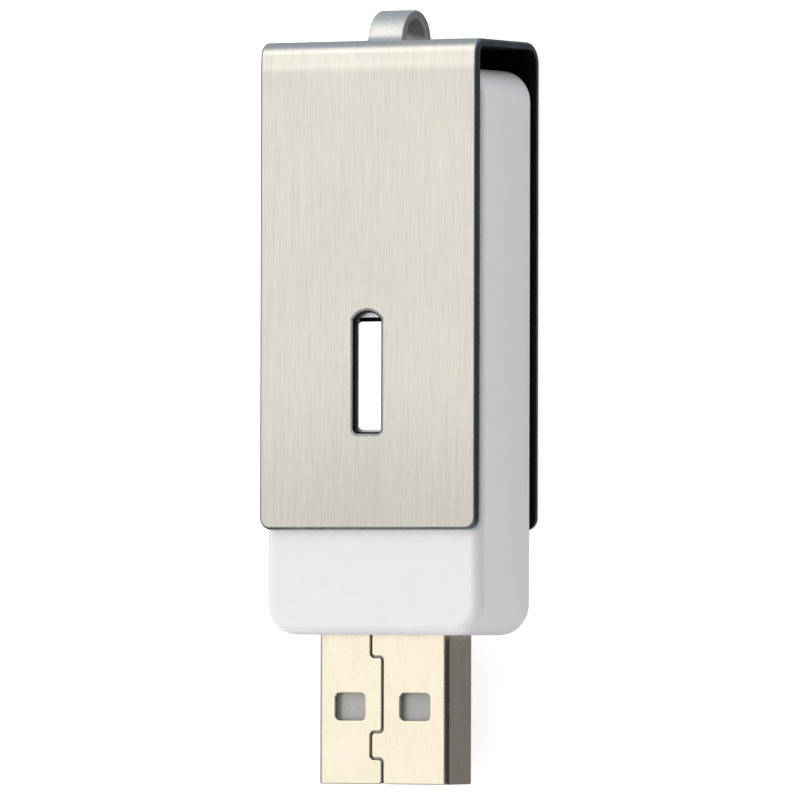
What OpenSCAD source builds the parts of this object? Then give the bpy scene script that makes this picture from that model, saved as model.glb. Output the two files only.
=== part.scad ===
// USB flash drive with a swivelling sheet-metal cover.
// X is its width, Y its length with the key loop at +Y and the plug at -Y, and Z its thickness.
// It lies on the rear plate of its cover, and the slotted front plate faces up.

/* [Plug] */
// Width of the plug's metal shell
plug_w = 12.0; // [11.9:0.05:12.1]
// Height of the plug's metal shell
plug_h = 4.5; // [4.4:0.05:4.6]
// Whole length of the metal shell
plug_l = 18.7; // [18.2:0.1:18.9]
// Length of the shell that stands out of the body
plug_out = 12.15; // [11.9:0.05:12.4]
// Thickness of the shell's sheet
plug_t = 0.3; // [0.25:0.01:0.32]
// Outer corner radius of the shell
plug_r = 0.52; // [0.4:0.02:0.8]
// How far the plug's centre lies in front of the middle of the body
plug_rise = 0.44; // [0.3:0.02:0.5]
// Width of a latch hole
latch_w = 2.75; // [2.5:0.05:2.9]
// Length of a latch hole
latch_l = 2.2; // [2:0.05:2.4]
// Distance of a latch hole's centre from the plug's centre line
latch_x = 3.02; // [2.9:0.02:3.1]
// Distance of a latch hole's centre from the plug's tip
latch_y = 6.3; // [6:0.05:6.5]
// Width of the gap along the shell's folded seam
seam_gap = 0.12; // [0.08:0.01:0.2]
// How far the seam steps sideways at its tabs
seam_step = 1.07; // [0.8:0.01:1.2]

/* [Body] */
// Width of the plastic body
body_w = 20.1; // [20:0.05:20.2]
// Length of the plastic body
body_l = 46.05; // [45.8:0.05:46.2]
// Thickness of the plastic body
body_h = 9.1; // [9:0.05:9.3]
// Radius of the body's corners, seen from the front
body_corner_r = 2.6; // [2.4:0.1:3]
// Radius along the body's edges
body_edge_r = 1.0; // [0.8:0.05:1.1]
// Thickness of the front wall and of the rear lid
face_wall = 1.2; // [1.1:0.05:1.25]
// Thickness of the side and end walls
side_wall = 1.6; // [1.5:0.05:1.7]

/* [Cover] */
// Width of the sheet-metal cover
cover_w = 20.2; // [20.1:0.05:20.4]
// Length of the cover, without the key loop
cover_l = 39.8; // [39.6:0.05:40]
// Distance from the plug's tip to the cover's free end
cover_from_tip = 20.7; // [20.6:0.05:20.8]
// Thickness of the cover's sheet
cover_t = 0.7; // [0.6:0.05:0.75]
// Free space between the cover's plates and the body
cover_gap = 0.15; // [0.12:0.01:0.2]
// Outer radius of the bend at the front plate
front_bend_r = 1.15; // [1:0.05:1.3]
// Outer radius of the bend at the rear plate
rear_bend_r = 1.8; // [1.6:0.05:2]
// Radius of the corners at the plates' free ends
cover_corner_r = 1.0; // [0.6:0.1:1.5]

/* [Cover slot] */
// Width of the slot in the front plate
slot_w = 2.35; // [2.2:0.05:2.5]
// Length of the slot over its arched end
slot_l = 9.7; // [9.6:0.05:9.8]
// Distance from the front plate's free end to the slot
slot_from_end = 7.95; // [7.9:0.05:8]
// Height of the slot's arched end
slot_arch = 0.58; // [0.4:0.02:0.8]
// Radius of the slot's two square corners
slot_corner_r = 0.25; // [0.1:0.05:0.4]

/* [Key loop] */
// Width of the strap that forms the loop
loop_w = 3.2; // [2.8:0.1:3.6]
// Outer radius of the loop
loop_r = 2.4; // [2.2:0.05:2.6]
// Height of the loop's crown above the cover
loop_rise = 2.65; // [2.5:0.05:3]
// Radius that blends the loop's feet into the cover
loop_foot_r = 0.8; // [0.6:0.05:1]

/* [Swivel] */
// Diameter of the two pivot studs
pivot_d = 3.0; // [2.8:0.05:3.1]
// Radial clearance of a stud in its socket
pivot_clearance = 0.05; // [0.02:0.01:0.08]
// Depth to which a stud enters the body
pivot_depth = 0.9; // [0.7:0.05:0.95]
// Distance from the plates' free end to the pivot axis
pivot_from_end = 5.8; // [5.6:0.05:5.9]

/* [Light window] */
// Width of the window
window_w = 2.5; // [2.4:0.05:2.6]
// Length of the window
window_l = 8.74; // [8.5:0.02:8.8]
// Open gap beyond the window's far end
window_gap = 0.28; // [0.2:0.02:0.3]

/* [Circuit board] */
// Width of the board
board_w = 14.8; // [14.4:0.1:15]
// Length of the board
board_l = 34.2; // [33.5:0.1:34.4]
// Thickness of the board
board_t = 1.0; // [0.8:0.1:1]

/* [Hidden] */
$fn = 64;
cut = 0.5; // how far a cutting shape runs past the material

// Heights above the surface that the drive lies on
cover_h = body_h + 2 * (cover_gap + cover_t);
body_z0 = cover_t + cover_gap;
body_z1 = body_z0 + body_h;
inner_z0 = body_z0 + face_wall;
inner_z1 = body_z1 - face_wall;
plug_z = cover_h / 2 + plug_rise;

// Places along the length
overall_l = cover_from_tip + cover_l + loop_rise;
tip_y = -overall_l / 2;
body_y0 = tip_y + plug_out;
body_y1 = body_y0 + body_l;
bridge_y = overall_l / 2 - loop_rise;
free_y = bridge_y - cover_l;
pivot_y = free_y + pivot_from_end;
slot_y0 = free_y + slot_from_end;
slot_y1 = slot_y0 + slot_l;
window_y0 = slot_y0 + 0.23;

// Contacts and the board they are soldered to
contact_w = 1.0;
contact_t = 0.3;
contact_proud = contact_t / 2;
contact_z = plug_z - contact_proud;
contact_tail = 1.9;
plug_end_y = tip_y + plug_l;
board_y0 = plug_end_y + 0.1;
board_z1 = contact_z;
board_z0 = board_z1 - board_t;

// A corner to cut away: the corner's tip is at the origin and the material lies towards -x and -y
module corner_cut(r) {
    difference() {
        translate([-r, -r]) square(r + cut);
        translate([-r, -r]) circle(r);
    }
}

// A centred rectangle with four round corners
module round_rect(w, l, r) {
    difference() {
        square([w, l], center = true);
        for (sx = [0, 1], sy = [0, 1])
            mirror([sx, 0]) mirror([0, sy]) translate([w / 2, l / 2]) corner_cut(r);
    }
}

// A profile drawn in Y and Z, extruded across the width and centred on it
module across(w) {
    translate([-w / 2, 0, 0]) rotate([90, 0, 90]) linear_extrude(w) children();
}

// A profile drawn in X and Y, extruded between two heights
module upright(z0, z1) {
    translate([0, 0, z0]) linear_extrude(z1 - z0) children();
}

// --- Cover ---

// Side view of one bent sheet surface, with both bends
module cover_outline(y0, y1, z0, z1, rear_r, front_r) {
    difference() {
        translate([y0, z0]) square([y1 - y0, z1 - z0]);
        translate([y1, z1]) corner_cut(front_r);
        translate([y1, z0]) mirror([0, 1]) corner_cut(rear_r);
    }
}

module cover_profile() {
    difference() {
        cover_outline(free_y, bridge_y, 0, cover_h, rear_bend_r, front_bend_r);
        cover_outline(free_y - cut, bridge_y - cover_t, cover_t, cover_h - cover_t,
                      rear_bend_r - cover_t, front_bend_r - cover_t);
    }
}

// Side view of the strap that is lanced out of the bridge and arched
module loop_profile() {
    arch_y = bridge_y + loop_rise - loop_r;
    foot_y = bridge_y - cover_t / 2;
    foot_reach = 0.95 * loop_foot_r; // just under the radius, so that each foot ends in a blunt edge
    difference() {
        union() {
            translate([arch_y, cover_h / 2]) circle(loop_r);
            translate([foot_y, cover_h / 2 - loop_r]) square([arch_y - foot_y, 2 * loop_r]);
            for (side = [0, 1])
                translate([bridge_y, cover_h / 2]) mirror([0, side]) translate([0, loop_r])
                    difference() {
                        translate([-cover_t / 2, -cover_t / 2]) square(cover_t / 2 + foot_reach);
                        translate([foot_reach, foot_reach]) circle(loop_foot_r);
                    }
        }
        translate([arch_y, cover_h / 2]) circle(loop_r - cover_t);
        translate([foot_y - cut, cover_h / 2 - loop_r + cover_t])
            square([arch_y - foot_y + cut, 2 * (loop_r - cover_t)]);
    }
}

// The slot: square at the plug's end and a low arch at the other
module slot_outline() {
    arch_r = (slot_w * slot_w / 4 + slot_arch * slot_arch) / (2 * slot_arch);
    arch_y = slot_y1 - arch_r;
    difference() {
        intersection() {
            translate([-slot_w / 2, slot_y0]) square([slot_w, slot_l]);
            union() {
                translate([0, arch_y]) circle(arch_r);
                translate([-arch_r, slot_y0 - cut]) square([2 * arch_r, arch_y - slot_y0 + cut]);
            }
        }
        for (side = [0, 1])
            mirror([side, 0]) translate([slot_w / 2, slot_y0]) mirror([0, 1]) corner_cut(slot_corner_r);
    }
}

module swivel_cover() {
    lance_gap = 0.15;
    color([0.84, 0.82, 0.78]) difference() {
        union() {
            across(cover_w) cover_profile();
            across(loop_w) loop_profile();
        }
        translate([-loop_w / 2 - lance_gap, bridge_y - cover_t - cut, cover_h / 2 - loop_r + cover_t])
            cube([loop_w + 2 * lance_gap, cover_t + cut, 2 * (loop_r - cover_t)]);
        upright(cover_h - cover_t - cut, cover_h + cut) slot_outline();
        upright(-cut, cover_h + cut) for (side = [0, 1])
            mirror([side, 0]) translate([cover_w / 2, free_y]) mirror([0, 1]) corner_cut(cover_corner_r);
    }
}

// A stud welded to the inside of a plate, with a chamfered nose, pointing up from the origin
module pivot_stud() {
    nose = 0.2;
    length = cover_gap + pivot_depth;
    color([0.7, 0.7, 0.72]) rotate_extrude()
        polygon([[0, 0], [pivot_d / 2, 0], [pivot_d / 2, length - nose],
                 [pivot_d / 2 - nose, length], [0, length]]);
}

module front_pivot_stud() {
    translate([0, pivot_y, cover_h - cover_t]) mirror([0, 0, 1]) pivot_stud();
}

module rear_pivot_stud() {
    translate([0, pivot_y, cover_t]) pivot_stud();
}

// --- Body ---

post_d = 2.2;
post_inset_x = 7.3;
post_y = [body_y0 + 3.9, body_y1 - 3.3];
pin_d = 1.2;
lid_inset = 1.1;
lid_fit = 0.03;
socket_r = pivot_d / 2 + pivot_clearance;
socket_depth = pivot_depth + 0.15;
boss_r = 2.15;
boss_floor = 0.45;
rib_y = [board_y0 + 4.0, board_y0 + board_l - 2.2];
rib_t = 0.8;
rib_grip = 1.0;

module at_body_middle() {
    translate([0, (body_y0 + body_y1) / 2, 0]) children();
}

// The body's outer block with all its edges rounded: two crossed bars and four round corners
module body_block() {
    corner_x = body_w / 2 - body_corner_r;
    corner_y = body_l / 2 - body_corner_r;
    at_body_middle() translate([0, 0, (body_z0 + body_z1) / 2]) {
        rotate([90, 0, 0]) linear_extrude(2 * corner_y, center = true)
            round_rect(body_w, body_h, body_edge_r);
        rotate([90, 0, 90]) linear_extrude(2 * corner_x, center = true)
            round_rect(body_l, body_h, body_edge_r);
        for (sx = [-1, 1], sy = [-1, 1])
            translate([sx * corner_x, sy * corner_y, 0]) rotate_extrude() intersection() {
                round_rect(2 * body_corner_r, body_h, body_edge_r);
                translate([0, -body_h]) square([body_corner_r + cut, 2 * body_h]);
            }
    }
}

module body_inset(inset) {
    at_body_middle()
        round_rect(body_w - 2 * inset, body_l - 2 * inset, body_corner_r - inset);
}

// Places of the four posts that take the lid's pins
module at_posts() {
    for (sx = [-1, 1], y = post_y) translate([sx * post_inset_x, y, 0]) children();
}

// Ribs that hold the board's edges, from the given height up to the other one
module board_ribs(z0, z1, reach_x) {
    x0 = board_w / 2 - rib_grip;
    for (side = [0, 1], y = rib_y)
        mirror([side, 0, 0]) translate([x0, y - rib_t / 2, z0]) cube([reach_x - x0, rib_t, z1 - z0]);
}

module housing() {
    lid_z = body_z0 + face_wall;
    color([0.93, 0.92, 0.93]) difference() {
        union() {
            difference() {
                body_block();
                upright(body_z0 - cut, lid_z) body_inset(lid_inset);
                upright(lid_z - cut, inner_z1) body_inset(side_wall);
            }
            translate([0, pivot_y, inner_z1 - boss_floor]) cylinder(h = boss_floor + 0.2, r = boss_r);
            at_posts() upright(lid_z + 0.4, inner_z1 + 0.2) circle(d = post_d);
            board_ribs(board_z1, inner_z1 + 0.2, body_w / 2 - side_wall / 2);
        }
        // Way through for the plug
        translate([0, body_y0 - cut, plug_z]) rotate([-90, 0, 0])
            linear_extrude(side_wall + 2 * cut) round_rect(plug_w + 0.1, plug_h + 0.1, plug_r + 0.05);
        // Opening for the light window, longer than the window at its far end
        upright(inner_z1 - cut, body_z1 + cut) translate([-window_w / 2, window_y0])
            square([window_w, window_l + window_gap]);
        // Socket for the front pivot stud
        translate([0, pivot_y, body_z1 - socket_depth]) cylinder(h = socket_depth + cut, r = socket_r);
        at_posts() upright(lid_z, lid_z + 3) circle(d = pin_d);
    }
}

module rear_lid() {
    pin_l = 2.8;
    color([0.9, 0.89, 0.9]) difference() {
        union() {
            upright(body_z0, inner_z0) body_inset(lid_inset + lid_fit);
            translate([0, pivot_y, inner_z0 - 0.2]) cylinder(h = boss_floor + 0.2, r = boss_r);
            at_posts() upright(inner_z0 - 0.2, inner_z0 + pin_l) circle(d = pin_d - 0.04);
            board_ribs(inner_z0 - 0.2, board_z0, body_w / 2 - side_wall - 0.3);
        }
        // Socket for the rear pivot stud
        translate([0, pivot_y, body_z0 - cut]) cylinder(h = socket_depth + cut, r = socket_r);
    }
}

// A light guide: its flange lies behind the front wall and its foot comes down to the light
module light_window() {
    flange_w = window_w + 1.4;
    flange_t = 0.6;
    foot = [1.8, 2.6];
    foot_z = board_z1 + led_h + 0.15;
    color([1, 1, 1, 0.9]) union() {
        upright(inner_z1 - flange_t / 2, body_z1)
            translate([-window_w / 2, window_y0]) square([window_w, window_l]);
        upright(inner_z1 - flange_t, inner_z1)
            translate([-flange_w / 2, window_y0]) square([flange_w, window_l + 1.0]);
        upright(foot_z, inner_z1 - flange_t / 2)
            translate([0, led_y]) square(foot, center = true);
    }
}

// --- Plug ---

// The seam's route, from the tip to the shell's rear end
seam_path = [
    [0, -cut], [0, 2.06], [-seam_step, 2.06], [-seam_step, 4.24],
    [0, 4.24], [0, 10.36], [-seam_step, 10.36], [-seam_step, plug_l + cut],
];

module seam_cut() {
    for (i = [1 : len(seam_path) - 1]) {
        a = seam_path[i - 1];
        b = seam_path[i];
        translate([min(a.x, b.x) - seam_gap / 2, min(a.y, b.y) - seam_gap / 2])
            square([abs(a.x - b.x) + seam_gap, abs(a.y - b.y) + seam_gap]);
    }
}

module plug_section(inset) {
    round_rect(plug_w - 2 * inset, plug_h - 2 * inset, plug_r - min(inset, plug_r - 0.2));
}

module at_plug_tip() {
    translate([0, tip_y, plug_z]) children();
}

// A leg in line with the shell's side wall, bent down through the board
module shell_leg() {
    leg_l = 2.4;
    foot_l = 1.4;
    translate([plug_w / 2 - plug_t, 0, 0]) rotate([90, 0, 90]) linear_extrude(plug_t)
        translate([plug_l, 0]) polygon([
            [-0.4, 0.3], [leg_l - foot_l, 0.3], [leg_l - foot_l, -1.7], [leg_l, -1.7],
            [leg_l, 1.5], [-0.4, 1.5],
        ]);
}

module plug_shell() {
    color([0.93, 0.89, 0.8]) at_plug_tip() difference() {
        union() {
            rotate([-90, 0, 0]) linear_extrude(plug_l) difference() {
                plug_section(0);
                plug_section(plug_t);
            }
            for (side = [0, 1]) mirror([side, 0, 0]) shell_leg();
        }
        for (side = [-1, 1]) translate([side * latch_x, latch_y, -plug_h])
            linear_extrude(2 * plug_h) round_rect(latch_w, latch_l, 0.36);
        translate([0, 0, plug_h / 2 - plug_t - 0.1]) linear_extrude(plug_t + cut) seam_cut();
    }
}

// Plastic tongue along the seam side, and the block behind it that fills the shell
module plug_insulator() {
    tongue_w = plug_w - 2 * plug_t - 0.2;
    tongue_top = plug_h / 2 - plug_t - 0.03;
    block_y = 9.4;
    mouth = 0.35;
    pocket_t = 0.3;
    color([0.86, 0.86, 0.84]) at_plug_tip() difference() {
        union() {
            translate([-tongue_w / 2, mouth, 0]) cube([tongue_w, plug_l - mouth, tongue_top]);
            translate([-tongue_w / 2, block_y, -tongue_top])
                cube([tongue_w, plug_l - block_y, 2 * tongue_top]);
        }
        for (x = contact_x) translate([x - contact_w / 2, mouth + 0.6, -contact_proud])
            cube([contact_w, plug_l, contact_t]);
        for (side = [-1, 1]) translate([side * latch_x, latch_y, tongue_top - pocket_t])
            linear_extrude(pocket_t + cut) round_rect(latch_w, latch_l, 0.36);
    }
}

contact_x = [-3.5, -1.0, 1.0, 3.5];
power_y = 1.3;
signal_y = 2.3;

// One flat contact strip, from its place behind the tip to its tail on the board
module contact(index, start_y) {
    color([0.9, 0.75, 0.4]) at_plug_tip()
        translate([contact_x[index] - contact_w / 2, start_y, -contact_proud])
            cube([contact_w, plug_l + contact_tail - start_y, contact_t]);
}

module contact_vbus() { contact(0, power_y); }
module contact_data_minus() { contact(1, signal_y); }
module contact_data_plus() { contact(2, signal_y); }
module contact_ground() { contact(3, power_y); }

// --- Circuit board and what is soldered to it ---

led_y = window_y0 + window_l / 2;
led_h = 0.6;
chip_standoff = 0.1;
lead_t = 0.15;

module circuit_board() {
    leg_slot = [0.5, 1.6];
    color([0.1, 0.4, 0.25]) upright(board_z0, board_z1) difference() {
        translate([-board_w / 2, board_y0]) square([board_w, board_l]);
        for (side = [-1, 1])
            translate([side * (plug_w / 2 - plug_t / 2), plug_end_y + 1.7]) square(leg_slot, center = true);
    }
}

// A gull-wing lead: it leaves the chip at height h and comes down to a foot of the given reach
module gull_lead(h, reach, width) {
    knee = reach * 0.35;
    rotate([90, 0, 90]) translate([0, 0, -width / 2]) linear_extrude(width) polygon([
        [0, h], [knee, h], [knee + 0.1, lead_t], [reach, lead_t], [reach, 0],
        [knee + 0.1 - lead_t, 0], [knee - lead_t, h - lead_t], [0, h - lead_t],
    ]);
}

// A row of leads along X, centred, standing out towards +Y
module lead_row(count, pitch, h, reach, width) {
    for (i = [0 : count - 1]) translate([(i - (count - 1) / 2) * pitch, 0, 0]) gull_lead(h, reach, width);
}

// Places on the two faces of the board; on the lower face, up is away from the board
module on_top(x, y) { translate([x, y, board_z1]) children(); }
module on_bottom(x, y) { translate([x, y, board_z0]) mirror([0, 0, 1]) children(); }

module chip_block(w, l, h) {
    translate([-w / 2, -l / 2, chip_standoff]) cube([w, l, h]);
}

flash_size = [12.0, 18.4, 1.0];
flash_y = board_y0 + 20.9;

module flash_chip() {
    color([0.12, 0.12, 0.13]) on_bottom(0, flash_y) chip_block(flash_size.x, flash_size.y, flash_size.z);
}

module flash_chip_leads() {
    color([0.8, 0.8, 0.82]) on_bottom(0, flash_y) for (turn = [0, 180])
        rotate([0, 0, turn]) translate([0, flash_size.y / 2, 0]) lead_row(24, 0.5, 0.65, 0.8, 0.22);
}

controller_size = [7.0, 7.0, 1.4];
controller_y = board_y0 + 26.0;

module controller_chip() {
    color([0.13, 0.13, 0.14]) on_top(0, controller_y)
        chip_block(controller_size.x, controller_size.y, controller_size.z);
}

module controller_leads() {
    color([0.8, 0.8, 0.82]) on_top(0, controller_y) for (turn = [0 : 90 : 270])
        rotate([0, 0, turn]) translate([0, controller_size.y / 2, 0]) lead_row(12, 0.5, 0.85, 1.0, 0.22);
}

regulator_at = [4.6, board_y0 + 12.2];
regulator_size = [2.9, 1.6, 1.1];

module voltage_regulator() {
    color([0.14, 0.14, 0.15]) on_top(regulator_at.x, regulator_at.y)
        chip_block(regulator_size.x, regulator_size.y, regulator_size.z);
}

module regulator_leads() {
    color([0.8, 0.8, 0.82]) on_top(regulator_at.x, regulator_at.y) {
        translate([0, regulator_size.y / 2, 0]) lead_row(2, 1.9, 0.65, 0.65, 0.4);
        rotate([0, 0, 180]) translate([0, regulator_size.y / 2, 0]) lead_row(3, 0.95, 0.65, 0.65, 0.4);
    }
}

// A ceramic base with a metal lid on it
module crystal_oscillator() {
    color([0.75, 0.73, 0.68]) on_top(-4.8, board_y0 + 18.2) {
        translate([0, 0, 0.25]) cube([2.5, 3.2, 0.5], center = true);
        translate([0, 0, 0.6]) cube([2.2, 2.9, 0.3], center = true);
    }
}

module activity_led() {
    lens_h = led_h - 0.25;
    color([0.95, 0.95, 0.85]) on_top(0, led_y) {
        translate([0, 0, 0.15]) cube([1.6, 0.8, 0.3], center = true);
        translate([0, 0, led_h - lens_h / 2]) cube([1.0, 0.8, lens_h], center = true);
    }
}

// Small parts with an end cap at each end, lying along X
module end_capped(h) {
    cap = 0.3;
    size = [1.6, 0.8];
    translate([-size.x / 2, -size.y / 2, 0]) cube([cap, size.y, h]);
    translate([size.x / 2 - cap, -size.y / 2, 0]) cube([cap, size.y, h]);
    translate([-size.x / 2 + cap, -size.y / 2, 0.03]) cube([size.x - 2 * cap, size.y, h - 0.06]);
}

capacitor_at = [[-5.2, 9.8], [5.4, 8.0], [-5.6, 22.2], [5.6, 22.2], [-5.6, 30.4], [5.6, 30.4]];
resistor_at = [[-2.0, 5.4], [2.0, 5.4], [-4.6, 14.6], [4.8, 15.6]];

module ceramic_capacitors() {
    color([0.72, 0.6, 0.45]) for (at = capacitor_at) on_top(at.x, board_y0 + at.y) end_capped(0.8);
}

module chip_resistors() {
    color([0.15, 0.15, 0.17]) for (at = resistor_at) on_top(at.x, board_y0 + at.y) end_capped(0.45);
}

swivel_cover();
front_pivot_stud();
rear_pivot_stud();
housing();
rear_lid();
light_window();
plug_shell();
plug_insulator();
contact_vbus();
contact_data_minus();
contact_data_plus();
contact_ground();
circuit_board();
flash_chip();
flash_chip_leads();
controller_chip();
controller_leads();
voltage_regulator();
regulator_leads();
crystal_oscillator();
activity_led();
ceramic_capacitors();
chip_resistors();
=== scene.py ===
"""Looks of a USB flash drive with a swivelling sheet-metal cover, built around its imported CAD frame.

Shapes are worked out in millimetres in the row frame: X width, Y length with the key loop at +Y,
Z thickness with the slotted plate of the cover on top. Names that end in W, L, H, T or R are widths,
lengths, heights, thicknesses and radii.
"""

import bisect
import math

import bmesh
import bpy
from mathutils import Matrix, Vector
from mathutils.geometry import area_tri, delaunay_2d_cdt


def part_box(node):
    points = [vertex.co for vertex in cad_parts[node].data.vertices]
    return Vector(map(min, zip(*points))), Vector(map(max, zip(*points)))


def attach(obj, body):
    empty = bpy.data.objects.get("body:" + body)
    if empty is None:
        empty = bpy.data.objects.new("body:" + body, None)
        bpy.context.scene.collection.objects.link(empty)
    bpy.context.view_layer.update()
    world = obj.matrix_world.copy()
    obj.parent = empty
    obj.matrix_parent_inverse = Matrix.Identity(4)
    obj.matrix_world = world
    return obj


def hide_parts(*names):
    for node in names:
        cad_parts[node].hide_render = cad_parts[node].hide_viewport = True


MM = 0.001
ROUND_STEPS = 5  # flat bands in a small round
BEND_STEP, BEND_LEAST = 7.5, 4  # degrees turned by one flat band of a bend, and its fewest bands
CUT_PAST = 0.5  # how far a cutting shape runs past the material
OVERLAP = 0.3  # how far two cutting shapes share the same space

# Tolerances, in millimetres and square millimetres; points are held in single precision
ON_LEVEL = 1e-5
SAME_POINT = 1e-7
SLIVER = 1e-4

# Angles from which a corner counts as straight, two faces as one plane, and an edge as sharp
STRAIGHT = math.radians(89.5)
SAME_PLANE = math.radians(0.3)
SHARP = math.radians(38)

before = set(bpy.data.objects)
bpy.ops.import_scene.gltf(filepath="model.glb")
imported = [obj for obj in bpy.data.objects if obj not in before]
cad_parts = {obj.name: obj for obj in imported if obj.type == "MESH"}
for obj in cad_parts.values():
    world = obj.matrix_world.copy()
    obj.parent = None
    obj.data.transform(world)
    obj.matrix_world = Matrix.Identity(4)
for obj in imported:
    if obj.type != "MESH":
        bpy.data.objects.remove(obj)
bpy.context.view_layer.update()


# --- Outlines in two dimensions, in millimetres ---

def arc(centre, radius, start, end, steps):
    """Points along an arc between two angles in degrees, both ends included."""
    angles = [math.radians(start + (end - start) * i / steps) for i in range(steps + 1)]
    return [Vector((centre[0] + radius * math.cos(a), centre[1] + radius * math.sin(a))) for a in angles]


def circle(centre, radius, steps):
    """Anticlockwise circle."""
    return arc(centre, radius, 0, 360, steps)[:-1]


def round_rect(low, high, radius, steps):
    """Anticlockwise rectangle with round corners, each of so many steps."""
    left, right = low[0] + radius, high[0] - radius
    near, far = low[1] + radius, high[1] - radius
    centres = [(right, near), (right, far), (left, far), (left, near)]
    return [p for i, centre in enumerate(centres)
            for p in arc(centre, radius, 90 * i - 90, 90 * i, steps)]


def round_corners(points, radius):
    """The same closed outline with each corner turned into an arc. Points on straight lines stay."""
    out = []
    for i, p in enumerate(points):
        before = (points[i - 1] - p).normalized()
        after = (points[(i + 1) % len(points)] - p).normalized()
        half = before.angle(after) / 2
        if half > STRAIGHT:
            out.append(p)
            continue
        reach = radius / math.tan(half)
        centre = p + (before + after).normalized() * (radius / math.sin(half))
        a = p + before * reach - centre
        b = p + after * reach - centre
        turn = a.angle_signed(b)
        for k in range(ROUND_STEPS + 1):
            out.append(centre + Matrix.Rotation(-turn * k / ROUND_STEPS, 2) @ a)
    return out


def cross_levels(points, axis, levels):
    """The same closed outline with a point added wherever an edge crosses one of the levels."""
    out = []
    for i, p in enumerate(points):
        q = points[(i + 1) % len(points)]
        out.append(p)
        step = q[axis] - p[axis]
        low, high = min(p[axis], q[axis]) + 2 * ON_LEVEL, max(p[axis], q[axis]) - 2 * ON_LEVEL
        between = [v for v in levels if low < v < high]
        for v in sorted(between, reverse=step < 0):
            new = p.lerp(q, (v - p[axis]) / step)
            new[axis] = v
            out.append(new)
    return out


def inward(points):
    """For each point, the step that moves both its edges one unit to the left of the way along."""
    out = []
    for i, p in enumerate(points):
        a = (p - points[i - 1]).normalized()
        b = (points[(i + 1) % len(points)] - p).normalized()
        na, nb = Vector((-a.y, a.x)), Vector((-b.y, b.x))
        out.append((na + nb) / (1 + na.dot(nb)))
    return out


def inside(point, loops):
    """Whether a point lies in the area between an outer loop and its holes."""
    odd = False
    for loop in loops:
        for i, a in enumerate(loop):
            b = loop[i - 1]
            if (a.y > point.y) != (b.y > point.y):
                if point.x < a.x + (point.y - a.y) / (b.y - a.y) * (b.x - a.x):
                    odd = not odd
    return odd


# --- Solids made of rounded rims and two filled faces ---

def rim(depth, top, bottom, slots=(0, 0, 0), steps=ROUND_STEPS):
    """A wall with rounded edges, from the upper face to the lower one, as rings of (inset, depth, slot).

    top and bottom are the radii of its rounds. A ring's slot is the material of the band below it, and
    slots holds those of the upper round, the wall and the lower round.
    """
    quarter = [math.pi / 2 * i / steps for i in range(steps + 1)]
    upper = [(top * (1 - math.sin(a)), top * (1 - math.cos(a)), slots[0]) for a in quarter]
    lower = [(bottom * (1 - math.cos(a)), depth - bottom + bottom * math.sin(a), slots[2]) for a in quarter]
    upper[-1] = (*upper[-1][:2], slots[1])
    return upper + lower


def flare(depth, radius, wall_slot=0):
    """The rim of a cutting shape that leaves a rounded mouth in the surface it starts from."""
    quarter = [math.pi / 2 * i / ROUND_STEPS for i in range(ROUND_STEPS + 1)]
    curve = [(-radius * (1 - math.sin(a)), radius * (1 - math.cos(a)), 0) for a in quarter]
    curve[-1] = (*curve[-1][:2], wall_slot)
    return [(-radius, -CUT_PAST, 0)] + curve + [(0, depth, wall_slot)]


def to_object(name, draft):
    """Turns a bmesh into an object of the scene."""
    mesh = bpy.data.meshes.new(name)
    draft.to_mesh(mesh)
    draft.free()
    made = bpy.data.objects.new(name, mesh)
    bpy.context.scene.collection.objects.link(made)
    return made


def fill(draft, rings, lines, slot):
    """Closes the area between rings of (point, vertex) with triangles that keep to the given lines."""
    flat = [pair for ring in rings for pair in ring]
    edges, start = [], 0
    for ring in rings:
        edges += [(start + i, start + (i + 1) % len(ring)) for i in range(len(ring))]
        start += len(ring)
    made = delaunay_2d_cdt([p for p, _ in flat], edges + lines, [], 0, SAME_POINT)
    _, _, faces, first_inputs, *_ = made
    triangles = [[first_inputs[i][0] for i in face] for face in faces]
    border = {frozenset(e) for e in edges}
    beside_edge = {}
    for number, triangle in enumerate(triangles):
        for i in range(3):
            edge = frozenset((triangle[i - 1], triangle[i]))
            if edge not in border:
                beside_edge.setdefault(edge, []).append(number)
    near = {}
    for pair in beside_edge.values():
        if len(pair) == 2:
            near.setdefault(pair[0], []).append(pair[1])
            near.setdefault(pair[1], []).append(pair[0])
    loops = [[p for p, _ in ring] for ring in rings]
    left = set(range(len(triangles)))
    while left:  # each region between borders is kept or dropped as a whole, by its largest triangle
        region, queue = [], [left.pop()]
        while queue:
            region.append(queue.pop())
            fresh = [t for t in near.get(region[-1], []) if t in left]
            left.difference_update(fresh)
            queue += fresh
        shapes = [[flat[k][0] for k in triangles[t]] for t in region]
        largest = max(shapes, key=lambda shape: area_tri(*shape))
        middle = sum(largest, Vector((0, 0))) / 3
        if area_tri(*largest) > SLIVER and inside(middle, loops):
            for t in region:
                draft.faces.new([flat[k][1] for k in triangles[t]]).material_index = slot


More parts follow.
